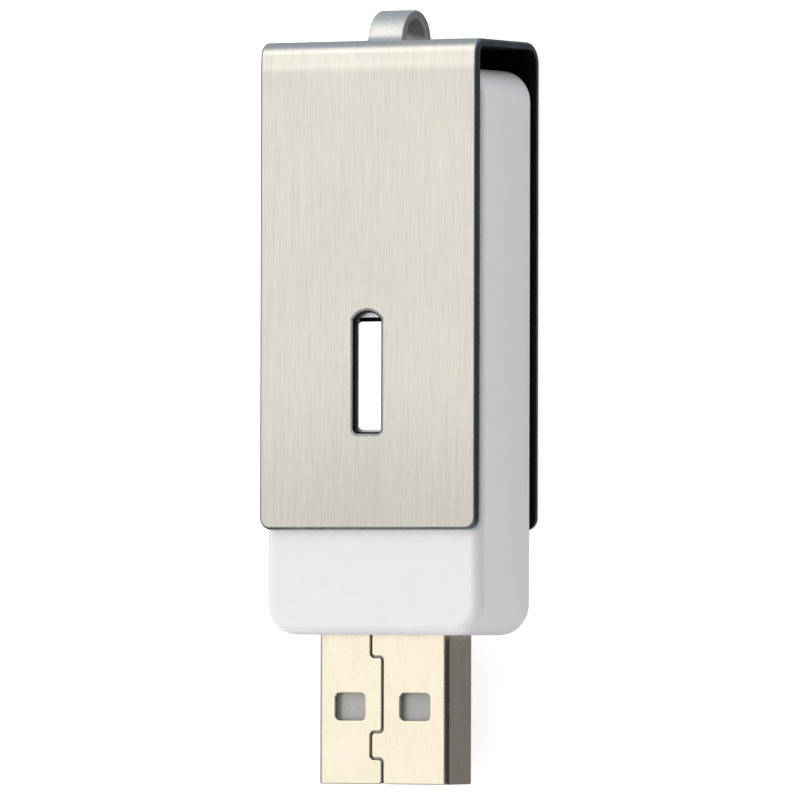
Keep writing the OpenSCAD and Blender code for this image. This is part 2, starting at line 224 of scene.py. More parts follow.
def solid(name, loops, place, lines=(), slots=(0, 0)):
    """A closed mesh from loops of (outline, rim). The outer outline is anticlockwise, holes are clockwise.

    place turns (u, v, depth) into a point. lines are pairs of point numbers of the outer outline, and
    slots are the materials of the upper and the lower face.
    """
    draft = bmesh.new()
    tops, bottoms = [], []
    for outline, rings in loops:
        steps = inward(outline)
        stack = []
        for inset, depth, _ in rings:
            flat = [p + s * inset for p, s in zip(outline, steps)]
            stack.append([(p, draft.verts.new(Vector(place(p.x, p.y, depth)) * MM)) for p in flat])
        for (upper, lower), (_, _, slot) in zip(zip(stack, stack[1:]), rings):
            for i in range(len(outline)):
                quad = [upper[i - 1][1], upper[i][1], lower[i][1], lower[i - 1][1]]
                draft.faces.new(quad).material_index = slot
        tops.append(stack[0])
        bottoms.append(stack[-1])
    fill(draft, tops, list(lines), slots[0])
    fill(draft, bottoms, list(lines), slots[1])
    bmesh.ops.recalc_face_normals(draft, faces=draft.faces)
    return to_object(name, draft)


def combine(piece, others, operation):
    """Adds or cuts other solids, which are then removed, and keeps the result as the piece's own mesh."""
    for other in others:
        change = piece.modifiers.new(operation, "BOOLEAN")
        change.operation = operation
        change.solver = "EXACT"
        change.object = other
    bpy.context.view_layer.update()
    shaped = piece.evaluated_get(bpy.context.evaluated_depsgraph_get())
    old, piece.data = piece.data, bpy.data.meshes.new_from_object(shaped)
    piece.data.name = piece.name
    piece.modifiers.clear()
    bpy.data.meshes.remove(old)
    for other in others:
        mesh = other.data
        bpy.data.objects.remove(other)
        bpy.data.meshes.remove(mesh)


def flat_areas(draft):
    """The area of the flat patch that each face belongs to."""
    areas = {}
    for seed in draft.faces:
        if seed in areas:
            continue
        patch, areas[seed] = [seed], 0
        for face in patch:  # the patch grows while it is walked
            for other in (other for edge in face.edges for other in edge.link_faces):
                if other not in areas and other.normal.dot(seed.normal) > math.cos(SAME_PLANE):
                    areas[other] = 0
                    patch.append(other)
        total = sum(face.calc_area() for face in patch)
        areas.update((face, total) for face in patch)
    return areas


def fans(vert):
    """The faces round a point, in groups that smooth edges join."""
    waiting = list(vert.link_faces)
    while waiting:
        fan = [waiting.pop()]
        for face in fan:  # the fan grows while it is walked
            joins = (edge for edge in face.edges if edge.smooth and vert in edge.verts)
            for other in (other for edge in joins for other in edge.link_faces):
                if other in waiting:
                    waiting.remove(other)
                    fan.append(other)
        yield fan


def smooth(piece):
    """Smooth shading in which the largest flat patch at a corner leads, so that flat faces stay flat."""
    mesh = piece.data
    draft = bmesh.new()
    draft.from_mesh(mesh)
    draft.normal_update()
    for edge in draft.edges:
        edge.smooth = edge.calc_face_angle(math.pi) < SHARP
    for face in draft.faces:
        face.smooth = True
    areas = flat_areas(draft)
    normals = {}
    for vert in draft.verts:
        for fan in fans(vert):
            normal = sum((face.normal * areas[face] ** 2 for face in fan), Vector((0, 0, 0))).normalized()
            for face in fan:
                normals[face.index, vert.index] = normal
    draft.to_mesh(mesh)
    draft.free()
    mesh.normals_split_custom_set([
        normals[polygon.index, mesh.loops[i].vertex_index]
        for polygon in mesh.polygons for i in polygon.loop_indices])


def soften(node, width):
    """Rounds the edges of a CAD node with modifiers. width is in millimetres."""
    weld = node.modifiers.new("weld", "WELD")
    weld.merge_threshold = 0.0005 * MM
    bevel = node.modifiers.new("edges", "BEVEL")
    bevel.width = width * MM
    bevel.segments = 3
    bevel.limit_method = "ANGLE"
    bevel.angle_limit = math.radians(40)
    bevel.miter_outer = "MITER_ARC"
    normals = node.modifiers.new("flat_faces", "WEIGHTED_NORMAL")
    normals.weight = 80  # leans towards the large faces
    normals.thresh = 0.0


def bent_path(start, moves):
    """A surface line made of straight runs and bends, as a function from distance to (point, normal).

    moves are ("run", length) and ("bend", radius, degrees to the right). The second result holds the
    distances of the knots in bends, their ends included.
    """
    knots, levels, point, heading, distance = [], [], Vector(start), 0.0, 0.0

    def knot():
        ahead = Vector((math.cos(heading), math.sin(heading)))
        knots.append((distance, point.copy(), Vector((-ahead.y, ahead.x))))
        return ahead

    for move in moves:
        ahead = knot()
        if move[0] == "run":
            point = point + ahead * move[1]
            distance += move[1]
            knot()
            continue
        _, radius, turn = move
        steps = max(BEND_LEAST, round(turn / BEND_STEP))
        centre = point - Vector((-ahead.y, ahead.x)) * radius
        levels.append(distance)
        for _ in range(steps):
            heading -= math.radians(turn / steps)
            distance += radius * math.radians(turn / steps)
            point = centre + Vector((-math.sin(heading), math.cos(heading))) * radius
            knot()
            levels.append(distance)
    distances = [k[0] for k in knots]

    def at(s):
        i = min(max(bisect.bisect_right(distances, s), 1), len(knots) - 1)
        (s0, p0, n0), (s1, p1, n1) = knots[i - 1], knots[i]
        share = 0 if s1 == s0 else (s - s0) / (s1 - s0)
        return p0 + (p1 - p0) * share, n0.lerp(n1, min(max(share, 0), 1)).normalized()

    return at, levels


def level_lines(outline, axis, levels):
    """For each level, the pair of outline points that lie on it."""
    pairs = []
    for v in levels:
        on = [i for i, p in enumerate(outline) if abs(p[axis] - v) < ON_LEVEL]
        pairs.append((on[0], on[-1]))
    return pairs


def corners(name):
    """Lowest and highest corner of a CAD node in millimetres."""
    low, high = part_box(name)
    return low / MM, high / MM


# --- Cover: one bent sheet with a slot and a lanced key loop ---

# Material slots of the cover, then those of the body, the window and the plug
BRUSHED, CUT_EDGE_DARK_REFLECTION, BLACK_AND_SHADE, SATIN, SLOT_EDGE_SHADE = range(5)
OUTSIDE, INSIDE = range(2)

COVER_T, COVER_CORNER_R = 0.7, 1.0
COVER_EDGE_R, COVER_INNER_EDGE_R, SLOT_EDGE_R, STRAP_EDGE_R = 0.32, 0.1, 0.36, 0.16
BLACK_SHADE_DEPTH = 0.06  # how deep into the slot's rounded edge the metal tone goes before the black painted shade begins
FRONT_BEND_R, REAR_BEND_R = 1.15, 1.8
SLOT_W, SLOT_L, SLOT_FROM_END, SLOT_ARCH, SLOT_CORNER_R = 2.35, 9.7, 7.95, 0.58, 0.25
LOOP_W, LOOP_R, LOOP_RISE, LOOP_FOOT_R = 3.2, 2.4, 2.65, 0.8
LANCE_GAP, LANCE_CORNER_R, LANCE_EDGE_R = 0.15, 0.12, 0.12
BLUNT = 10  # degrees left off the strap's feet, where they would run flat into the bridge
STRAP_OVERLAP = 0.01  # how far the strap reaches past the edge of its hole

cover_low, cover_high = corners("swivel_cover")
bridge_y = cover_high.y - LOOP_RISE
cover_half_w = cover_high.x
cover_h = cover_high.z
plate_l = bridge_y - cover_low.y
loop_z = cover_h / 2

# The front plate dips slightly over its last stretch, where the bend runs out
RUNOUT_L, RUNOUT_TURN, RUNOUT_R = 2.3, 2.5, 4.0
dip = math.radians(RUNOUT_TURN)
dip_run = (RUNOUT_L - RUNOUT_R * math.sin(dip) - FRONT_BEND_R * (1 - math.sin(dip))) / math.cos(dip)
front_drop = RUNOUT_R * (1 - math.cos(dip)) + dip_run * math.sin(dip) + FRONT_BEND_R * math.cos(dip)
cover_moves = [
    ("run", plate_l - RUNOUT_L), ("bend", RUNOUT_R, RUNOUT_TURN), ("run", dip_run),
    ("bend", FRONT_BEND_R, 90 - RUNOUT_TURN), ("run", cover_h - front_drop - REAR_BEND_R),
    ("bend", REAR_BEND_R, 90), ("run", plate_l - REAR_BEND_R),
]
cover_at, cover_levels = bent_path((cover_low.y, cover_h), cover_moves)


def length_of(moves):
    """The length of a bent line along its surface."""
    return sum(m[1] if m[0] == "run" else m[1] * math.radians(m[2]) for m in moves)


sheet_l = length_of(cover_moves)


def on_cover(u, v, depth):
    """The point at u across the sheet, v along it from the front plate's free end, and a depth in it."""
    point, normal = cover_at(v)
    point = point - normal * depth
    return u, point.x, point.y


def slot_outline():
    """The slot in the front plate: round corners near the free end and a shallow arch at the other end."""
    half = SLOT_W / 2
    radius = (half * half + SLOT_ARCH * SLOT_ARCH) / (2 * SLOT_ARCH)
    side = math.degrees(math.acos(half / radius))
    base = SLOT_FROM_END + SLOT_CORNER_R
    return (arc((half - SLOT_CORNER_R, base), SLOT_CORNER_R, -90, 0, steps=6)
            + arc((0, SLOT_FROM_END + SLOT_L - radius), radius, side, 180 - side, steps=18)
            + arc((-half + SLOT_CORNER_R, base), SLOT_CORNER_R, 180, 270, steps=6))


def lance_outline():
    """The hole in the bridge that the strap was pushed out of."""
    middle = length_of(cover_moves[:4]) + cover_h - front_drop - loop_z
    half_w, half_h = LOOP_W / 2 + LANCE_GAP, LOOP_R - COVER_T
    return round_rect((-half_w, middle - half_h), (half_w, middle + half_h), LANCE_CORNER_R, steps=4)


def strap_outline():
    """Side view of the loop, as distance beyond the bridge and height above the loop's middle."""
    arch_d = LOOP_RISE - LOOP_R
    reach = LOOP_R + LOOP_FOOT_R
    foot_z = math.sqrt(reach ** 2 - (LOOP_FOOT_R - arch_d) ** 2)
    tangent = math.degrees(math.atan2(foot_z, LOOP_FOOT_R - arch_d))
    inner = LOOP_R - COVER_T - STRAP_OVERLAP
    root = -COVER_T / 2
    lower = arc((LOOP_FOOT_R, -foot_z), LOOP_FOOT_R, 180 - BLUNT, 180 - tangent, steps=8)
    crown = arc((arch_d, 0), LOOP_R, -tangent, tangent, steps=36)
    upper = arc((LOOP_FOOT_R, foot_z), LOOP_FOOT_R, 180 + tangent, 180 + BLUNT, steps=8)
    under = arc((arch_d, 0), inner, 90, -90, steps=28)
    ends = [Vector((root, upper[-1].y)), Vector((root, inner))]
    return lower + crown[1:-1] + upper + ends + under + [Vector((root, -inner)), Vector((root, lower[0].y))]


cover_outline = cross_levels(
    round_rect((-cover_half_w, 0), (cover_half_w, sheet_l), COVER_CORNER_R, steps=10), 1, cover_levels)
sheet_slots = (BRUSHED, CUT_EDGE_DARK_REFLECTION, BLACK_AND_SHADE)
# Past its first band the rounded outer edge is sheared metal, rougher, and in a dark blue-grey that is a
# painted dark reflection
cover_rim = [(inset, depth, CUT_EDGE_DARK_REFLECTION if depth > 0 and slot == BRUSHED else slot)
             for inset, depth, slot in rim(COVER_T, COVER_EDGE_R, COVER_INNER_EDGE_R, sheet_slots)]
# Only the first bands of the slot's rounded edge show metal, in a darker tone that is painted shade; the
# rest is black, painted shade on the slot's walls
slot_rim = [(inset, depth, SLOT_EDGE_SHADE if depth < BLACK_SHADE_DEPTH else BLACK_AND_SHADE)
            for inset, depth, _ in rim(COVER_T, SLOT_EDGE_R, bottom=0.06)]
lance_rim = rim(COVER_T, LANCE_EDGE_R, bottom=0.06, slots=sheet_slots)
cover = solid(
    "cover_sheet",
    [(cover_outline, cover_rim), (slot_outline()[::-1], slot_rim), (lance_outline()[::-1], lance_rim)],
    on_cover, level_lines(cover_outline, 1, cover_levels), (BRUSHED, BLACK_AND_SHADE))
strap = solid(
    "strap", [(strap_outline(), rim(LOOP_W, STRAP_EDGE_R, STRAP_EDGE_R, (SATIN, SATIN, SATIN)))],
    lambda u, v, depth: (LOOP_W / 2 - depth, bridge_y + u, loop_z + v), slots=(SATIN, SATIN))

# --- Body: a deep tub whose open side is closed by the rear lid ---

BODY_CORNER_R, BODY_EDGE_R = 2.6, 1.0
FACE_WALL, SIDE_WALL, LID_INSET = 1.2, 1.6, 1.1
WINDOW_W, WINDOW_L, WINDOW_GAP, WINDOW_HOLE_R = 2.5, 8.74, 0.36, 0.1
SOCKET_R, SOCKET_DEPTH = 1.55, 1.05
PLUG_W, PLUG_H, PLUG_L, PLUG_T, PLUG_R = 12.0, 4.5, 18.7, 0.3, 0.52
PLUG_CLEARANCE = 0.05
LID_MOUTH_R, WINDOW_MOUTH_R, SOCKET_MOUTH_R, PLUG_MOUTH_R = 0.08, 0.08, 0.1, 0.12

body_low, body_high = corners("housing")
window_low, _ = corners("light_window")
shell_low, shell_high = corners("plug_shell")
stud_low, stud_high = corners("front_pivot_stud")
pivot_y = (stud_low.y + stud_high.y) / 2
window_far_y = window_low.y + WINDOW_L
inner_z0, inner_z1 = body_low.z + FACE_WALL, body_high.z - FACE_WALL
plug_z = shell_high.z - PLUG_H / 2
tip_y = shell_low.y


def body_outline(inset):
    """The body's outline seen from above, moved inwards."""
    low = (body_low.x + inset, body_low.y + inset)
    high = (body_high.x - inset, body_high.y - inset)
    return round_rect(low, high, BODY_CORNER_R - inset, steps=14)


def from_top(z):
    """Depth is measured down from height z."""
    return lambda u, v, depth: (u, v, z - depth)


def from_bottom(z):
    """Depth is measured up from height z."""
    return lambda u, v, depth: (u, v, z + depth)


body_rim = rim(body_high.z - body_low.z, BODY_EDGE_R, BODY_EDGE_R, steps=10)
body = solid("body_shell", [(body_outline(0), body_rim)], from_top(body_high.z))
lid_hole = solid("lid_hole", [(body_outline(LID_INSET), flare(FACE_WALL, LID_MOUTH_R))],
                 from_bottom(body_low.z))
cavity_wall = [(0, 0, OUTSIDE), (0, inner_z1 - inner_z0 + OVERLAP, OUTSIDE)]
cavity = solid("cavity", [(body_outline(SIDE_WALL), cavity_wall)], from_bottom(inner_z0 - OVERLAP))
# Below its round mouth the window hole's wall is black, painted shade in the gap round the window
window_hole = solid("window_hole", [(round_rect(
    (-WINDOW_W / 2, window_low.y), (WINDOW_W / 2, window_far_y + WINDOW_GAP), WINDOW_HOLE_R, steps=4),
    flare(FACE_WALL + CUT_PAST, WINDOW_MOUTH_R, wall_slot=INSIDE))], from_top(body_high.z))
socket = solid("socket", [(circle((0, pivot_y), SOCKET_R, steps=64), flare(SOCKET_DEPTH, SOCKET_MOUTH_R))],
               from_top(body_high.z))
half_w, half_h = PLUG_W / 2 + PLUG_CLEARANCE, PLUG_H / 2 + PLUG_CLEARANCE
plug_hole = solid("plug_hole", [(round_rect(
    (-half_w, plug_z - half_h), (half_w, plug_z + half_h), PLUG_R + PLUG_CLEARANCE, steps=8),
    flare(SIDE_WALL + CUT_PAST, PLUG_MOUTH_R))], lambda u, v, depth: (u, body_low.y + depth, v))

# --- Plug: one sheet folded round the tongue, with an interlocking seam and latch holes ---

SEAM_GAP, SEAM_STEP, SEAM_CORNER_R = 0.15, 1.07, 0.3
# The seam's line, as (sideways in steps, distance from the tip)
SEAM = [(0, 0), (0, 2.06), (-1, 2.06), (-1, 4.24), (0, 4.24), (0, 10.36), (-1, 10.36), (-1, PLUG_L)]
LATCH_W, LATCH_L, LATCH_X, LATCH_Y, LATCH_R = 2.75, 2.2, 3.02, 6.3, 0.36
LEAD_IN = 3.0  # where the folded line starts, to the left of the plug's middle
SPARE_L = 1.0  # how far the folded line runs on once it is back above the plug's middle

flat_w, flat_h = PLUG_W - 2 * PLUG_R, PLUG_H - 2 * PLUG_R
fold = ("bend", PLUG_R, 90)
around_at, around_levels = bent_path((-LEAD_IN, plug_z + PLUG_H / 2), [
    ("run", LEAD_IN + flat_w / 2), fold, ("run", flat_h), fold, ("run", flat_w), fold,
    ("run", flat_h), fold, ("run", flat_w / 2 + SPARE_L)])
perimeter = 2 * (flat_w + flat_h) + 2 * math.pi * PLUG_R


def on_plug(u, v, depth):
    """The point at u round the plug, v along it from the tip, and a depth in its sheet."""
    point, normal = around_at(u)
    point = point - normal * depth
    return point.x, tip_y + v, point.y


def beside(line, distance):
    """An open line moved to its left by a distance."""
    runs = [(q - p).normalized() for p, q in zip(line, line[1:])]
    sides = [Vector((-run.y, run.x)) for run in runs]
    steps = [(a + b) / (1 + a.dot(b)) for a, b in zip(sides, sides[1:])]
    return [p + step * distance for p, step in zip(line, [sides[0]] + steps + [sides[-1]])]


def latch_outline(u):
    """A latch hole whose middle is at u round the plug."""
    return round_rect((u - LATCH_W / 2, LATCH_Y - LATCH_L / 2), (u + LATCH_W / 2, LATCH_Y + LATCH_L / 2),
                      LATCH_R, steps=6)


seam = [Vector((LEAD_IN + x * SEAM_STEP, y)) for x, y in SEAM]
near_edge = beside(seam, -SEAM_GAP / 2)
far_edge = [p + Vector((perimeter, 0)) for p in beside(seam, SEAM_GAP / 2)]
plug_outline = cross_levels(round_corners(far_edge + near_edge[::-1], SEAM_CORNER_R), 0, around_levels)
sheet_rim = rim(PLUG_T, top=0.12, bottom=0.05, slots=(OUTSIDE, INSIDE, INSIDE), steps=4)
latches = [LEAD_IN + LATCH_X, LEAD_IN + perimeter - LATCH_X,
           LEAD_IN + perimeter / 2 - LATCH_X, LEAD_IN + perimeter / 2 + LATCH_X]
plug = solid("plug_sheet",
             [(plug_outline, sheet_rim)] + [(latch_outline(u)[::-1], sheet_rim) for u in latches],
             on_plug, level_lines(plug_outline, 0, around_levels), (OUTSIDE, INSIDE))

# --- Light window: a milky block with a painted glow, on a flange painted black as shade for the gap round it ---

WINDOW_CORNER_R, FOOT_CORNER_R = 0.3, 0.2
FLANGE_SIDE, FLANGE_END, FLANGE_T = 0.7, 1.0, 0.6
FOOT_W, FOOT_L = 1.8, 2.6
foot_y = (window_low.y + window_far_y) / 2
foot_top = inner_z1 - FLANGE_T / 2
window = solid("milky_window", [(round_rect(
    (-WINDOW_W / 2, window_low.y), (WINDOW_W / 2, window_far_y), WINDOW_CORNER_R, steps=5),
    rim(FACE_WALL + FLANGE_T / 2, top=0.08, bottom=0.02, steps=3))], from_top(body_high.z))
flange = solid("flange", [(round_rect(
    (-WINDOW_W / 2 - FLANGE_SIDE, window_low.y),
    (WINDOW_W / 2 + FLANGE_SIDE, window_far_y + FLANGE_END), WINDOW_CORNER_R, steps=4),
    rim(FLANGE_T, top=0.04, bottom=0.04, slots=(INSIDE, INSIDE, INSIDE), steps=2))],
    from_top(inner_z1), slots=(INSIDE, INSIDE))
foot = solid("foot", [(round_rect(
    (-FOOT_W / 2, foot_y - FOOT_L / 2), (FOOT_W / 2, foot_y + FOOT_L / 2), FOOT_CORNER_R, steps=4),
    rim(foot_top - window_low.z, top=0.02, bottom=0.06, steps=3))], from_top(foot_top))

combine(window, [flange, foot], "UNION")
combine(cover, [strap], "UNION")
combine(body, [lid_hole, cavity, window_hole, socket, plug_hole], "DIFFERENCE")
for piece in (cover, body, window, plug):
    smooth(piece)

for piece, body_name, node in (
        (cover, "cover", "swivel_cover"), (body, "drive", "housing"),
        (window, "drive", "light_window"), (plug, "drive", "plug_shell")):
    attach(piece, body_name)
    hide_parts(node)


# --- Materials ---

# Sockets of a mix node that mixes colours
MIX_FACTOR, MIX_FIRST, MIX_SECOND, MIX_RESULT = 0, 6, 7, 2


def material(name, dark, light, rough, layers, bump=0.0, bump_depth=0.004, spread=0.2, painted_light_fades=(),
             **sockets):
    """A surface whose colour and roughness vary with layers of noise.

    layers are (cells per millimetre along X, Y and Z, share); rough is its lowest and highest value;
    spread is how far from 0.5 the noise gives the full dark or light colour; bump_depth is in
    millimetres; fades are (from Y, to Y, share), slow changes of tone along the length that paint
    light and shade into the colour; sockets go straight to the shader.
    """
    made = bpy.data.materials.new(name)
    made.use_nodes = True
    nodes, links = made.node_tree.nodes, made.node_tree.links
    shader = nodes["Principled BSDF"]
    for key, value in sockets.items():
        shader.inputs[key.replace("_", " ").title().replace("Ior", "IOR")].default_value = value
    where = nodes.new("ShaderNodeTexCoord")
    total = None
    for scale, share in layers:
        stretch = nodes.new("ShaderNodeMapping")
        stretch.inputs["Scale"].default_value = [s / MM for s in scale]
        links.new(where.outputs["Object"], stretch.inputs["Vector"])
        noise = nodes.new("ShaderNodeTexNoise")
        noise.inputs["Scale"].default_value = 1.0
        noise.inputs["Detail"].default_value = 3.0
        links.new(stretch.outputs["Vector"], noise.inputs["Vector"])
        part = nodes.new("ShaderNodeMath")
        part.operation = "MULTIPLY_ADD"
        part.inputs[1].default_value = share
        part.inputs[2].default_value = 0.0
        links.new(noise.outputs["Fac"], part.inputs[0])
        if total is not None:
            links.new(total, part.inputs[2])
        total = part.outputs[0]
    grain = total
    # Painted light: each of these slow changes lightens or darkens the tone along Y, in place of light and
    # shade
    for from_y, to_y, share in painted_light_fades:
        along = nodes.new("ShaderNodeSeparateXYZ")
        links.new(where.outputs["Object"], along.inputs[0])
        slow = nodes.new("ShaderNodeMapRange")
        slow.interpolation_type = "SMOOTHSTEP"
        slow.inputs["From Min"].default_value = from_y * MM
        slow.inputs["From Max"].default_value = to_y * MM
        slow.inputs["To Max"].default_value = share
        links.new(along.outputs["Y"], slow.inputs["Value"])
        both = nodes.new("ShaderNodeMath")
        links.new(total, both.inputs[0])
        links.new(slow.outputs["Result"], both.inputs[1])
        total = both.outputs[0]
    level = nodes.new("ShaderNodeMapRange")
    level.inputs["From Min"].default_value = 0.5 - spread
    level.inputs["From Max"].default_value = 0.5 + spread
    links.new(total, level.inputs["Value"])
    tone = nodes.new("ShaderNodeMix")
    tone.data_type = "RGBA"
    tone.inputs[MIX_FIRST].default_value = (*dark, 1)
    tone.inputs[MIX_SECOND].default_value = (*light, 1)
    links.new(level.outputs["Result"], tone.inputs[MIX_FACTOR])
    links.new(tone.outputs[MIX_RESULT], shader.inputs["Base Color"])
    gloss = nodes.new("ShaderNodeMapRange")
    gloss.inputs["To Min"].default_value = rough[1]
    gloss.inputs["To Max"].default_value = rough[0]
    links.new(level.outputs["Result"], gloss.inputs["Value"])
    links.new(gloss.outputs["Result"], shader.inputs["Roughness"])
    if bump:
        relief = nodes.new("ShaderNodeBump")
        relief.inputs["Strength"].default_value = bump
        relief.inputs["Distance"].default_value = bump_depth * MM
        links.new(grain, relief.inputs["Height"])
        links.new(relief.outputs["Normal"], shader.inputs["Normal"])
    return made


def dress(piece, *materials):
    """Gives a new piece its materials in slot order, or all of a CAD node's slots the first one."""
    if piece.material_slots:
        for held in piece.material_slots:
            held.material = materials[0]
    else:
        for made in materials:
            piece.data.materials.append(made)


# Layers of noise: streaks along the length, and an even grain
GRAIN = [((13.0, 0.35, 0.35), 0.36), ((4.5, 0.09, 0.09), 0.22), ((0.12, 0.06, 0.12), 0.13)]
FINE = [((6.0, 6.0, 6.0), 0.6), ((0.35, 0.35, 0.35), 0.4)]

runout_y = bridge_y - RUNOUT_L
# Painted light on the brushed steel: painted shade darkens the plate over its first 15 mm from the free
# end, and a painted highlight lightens it from where the bend runs out onwards, brightest just past that
# start
brushed = material("brushed_steel", (0.53, 0.51, 0.452), (0.87, 0.845, 0.77), (0.28, 0.4), GRAIN,
                   bump=0.25, spread=0.3, metallic=1.0, painted_light_fades=(
                       (cover_low.y, cover_low.y + 15, 0.16),
                       (runout_y - 0.4, runout_y + 0.3, 0.20), (runout_y + 0.3, runout_y + 0.9, -0.05)))
# A darker grey copy of the steel for the slot's rounded edge: painted shade
slot_edge_shade = material("slot_edge_shade", (0.27, 0.26, 0.25), (0.40, 0.39, 0.38), (0.3, 0.45), FINE,
                     bump=0.2, metallic=1.0)
satin = material("satin_steel", (0.75, 0.745, 0.71), (0.91, 0.90, 0.86), (0.42, 0.55), FINE,
                 bump=0.15, metallic=1.0)
# Sheared edges: rougher metal, partly real; their dark blue-grey tone is a painted dark reflection
cut_edge_dark_reflection = material("sheared_edge_painted_dark_reflection", (0.15, 0.17, 0.20), (0.32, 0.35, 0.39), (0.35, 0.55),
                    [((2.0, 2.0, 12.0), 0.6), ((0.6, 0.6, 0.6), 0.4)], bump=0.3, metallic=1.0)
# Near black: on the cover's inside faces it is just black, and on the slot's walls, the window hole's walls
# and the window's flange it is painted shade
black_and_shade = material("black_and_painted_shade", (0.002, 0.002, 0.003), (0.006, 0.006, 0.007), (0.45, 0.6), FINE,
                   bump=0.2, specular_ior_level=0.1)
white = material("white_plastic", (0.742, 0.726, 0.742), (0.767, 0.75, 0.767), (0.28, 0.4), FINE,
                 bump=0.08, bump_depth=0.002)
# The window's emission is a painted glow: it keeps the window pure white and washes out the plate's shadow
# on it
glowing_milky = material("milky_plastic_painted_glow", (0.9, 0.9, 0.9), (0.95, 0.95, 0.95), (0.3, 0.42), FINE, bump=0.05,
                 emission_color=(1, 1, 1, 1), emission_strength=0.75)
plating = material("nickel_plating", (0.90, 0.81, 0.63), (1.0, 0.93, 0.76), (0.2, 0.34),
                   [((1.2, 0.25, 1.2), 0.4), ((8.0, 1.0, 8.0), 0.35), ((0.3, 0.3, 0.3), 0.25)],
                   bump=0.12, metallic=1.0)
shell_inside = material("plating_inside", (0.12, 0.12, 0.12), (0.2, 0.19, 0.18), (0.35, 0.5), FINE,
                        metallic=1.0)
dress(cover, brushed, cut_edge_dark_reflection, black_and_shade, satin, slot_edge_shade)
dress(body, white, black_and_shade)
dress(window, glowing_milky, black_and_shade)
dress(plug, plating, shell_inside)

# CAD nodes that are shown: slot name, material and width of the rounded edges
NODE_LOOKS = {
    "rear_lid": ("white_plastic", white, 0.08),
    # The insulator's grey is darkened as painted shade, for the shadow it lies in inside the plug
    "plug_insulator": ("insulator_plastic", material(
        "insulator", (0.34, 0.34, 0.32), (0.41, 0.41, 0.39), (0.4, 0.55), FINE, bump=0.15), 0.05),
    "front_pivot_stud": ("stud_steel", material(
        "turned_steel", (0.45, 0.45, 0.46), (0.62, 0.62, 0.63), (0.3, 0.42),
        [((0.4, 0.4, 9.0), 0.6), ((1, 1, 1), 0.4)], bump=0.2, metallic=1.0), 0.04),
    "contact_vbus": ("contact_gold", material(
        "gold_plating", (0.80, 0.58, 0.26), (0.92, 0.72, 0.36), (0.2, 0.32),
        [((7.0, 0.4, 7.0), 0.6), ((0.6, 0.6, 0.6), 0.4)], bump=0.12, metallic=1.0), 0.04),
    "circuit_board": ("board_laminate", material(
        "solder_mask", (0.012, 0.09, 0.05), (0.02, 0.16, 0.08), (0.3, 0.42),
        [((2.5, 2.5, 40.0), 0.5), ((0.5, 0.5, 0.5), 0.5)], bump=0.12), 0.04),
    "flash_chip": ("chip_resin", material(
        "moulded_resin", (0.012, 0.012, 0.014), (0.03, 0.03, 0.033), (0.5, 0.7), FINE, bump=0.3), 0.05),
    "flash_chip_leads": ("tinned_leads", material(
        "tin", (0.55, 0.55, 0.57), (0.75, 0.75, 0.77), (0.28, 0.45), FINE, bump=0.15, metallic=1.0), 0.0),
    "crystal_oscillator": ("crystal_can", material(
        "crystal_lid", (0.55, 0.52, 0.45), (0.75, 0.72, 0.64), (0.25, 0.4),
        [((0.4, 9.0, 9.0), 0.6), ((1, 1, 1), 0.4)], bump=0.15, metallic=1.0), 0.05),
    "activity_led": ("led_lens", material(
        "led_lens", (0.82, 0.80, 0.62), (0.92, 0.9, 0.75), (0.15, 0.3), FINE, bump=0.05), 0.04),
    "ceramic_capacitors": ("capacitor_ceramic", material(
        "capacitor", (0.38, 0.26, 0.16), (0.55, 0.42, 0.28), (0.4, 0.6), FINE, bump=0.2), 0.04),
    "chip_resistors": ("resistor_ceramic", material(
        "resistor", (0.01, 0.01, 0.013), (0.04, 0.04, 0.05), (0.3, 0.5), FINE, bump=0.1), 0.03),
}
# More nodes with the look of the first
SAME_LOOK = {
    "front_pivot_stud": ["rear_pivot_stud"],
    "contact_vbus": ["contact_data_minus", "contact_data_plus", "contact_ground"],
    "flash_chip": ["controller_chip", "voltage_regulator"],
    "flash_chip_leads": ["controller_leads", "regulator_leads"],
}
for first, (slot_name, look, edge) in NODE_LOOKS.items():
    for name in [first] + SAME_LOOK.get(first, []):
        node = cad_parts[name]
        dress(node, look)
        if edge:
            soften(node, edge)


# --- Floor, light and camera ---

FLOOR_SIDE = 6.0  # metres
square = bmesh.new()
bmesh.ops.create_grid(square, x_segments=1, y_segments=1, size=FLOOR_SIDE / 2)
floor = to_object("floor", square)
dress(floor, material("pale_floor", (0.50, 0.50, 0.50), (0.53, 0.53, 0.53), (0.7, 0.8),
                      [((0.02, 0.02, 0.02), 1.0)], specular_ior_level=0.0,
                      emission_color=(1, 1, 1, 1), emission_strength=0.8))
floor.visible_glossy = False

# Surroundings: bright above and brightest beyond the key loop, dim beyond the plug, almost black to
# the right, and dark below, where only reflections reach because they pass through the floor
world = bpy.data.worlds.new("studio")
bpy.context.scene.world = world
world.use_nodes = True
world_nodes, world_links = world.node_tree.nodes, world.node_tree.links
sky = world_nodes["Background"]
direction = world_nodes.new("ShaderNodeTexCoord")
split = world_nodes.new("ShaderNodeSeparateXYZ")
world_links.new(direction.outputs["Generated"], split.inputs[0])


def ramp(value, low, high):
    """0 below the low value and 1 above the high one, with a smooth change between."""
    made = world_nodes.new("ShaderNodeMapRange")
    made.interpolation_type = "SMOOTHSTEP"
    made.inputs["From Min"].default_value = low
    made.inputs["From Max"].default_value = high
    world_links.new(value, made.inputs["Value"])
    return made.outputs["Result"]


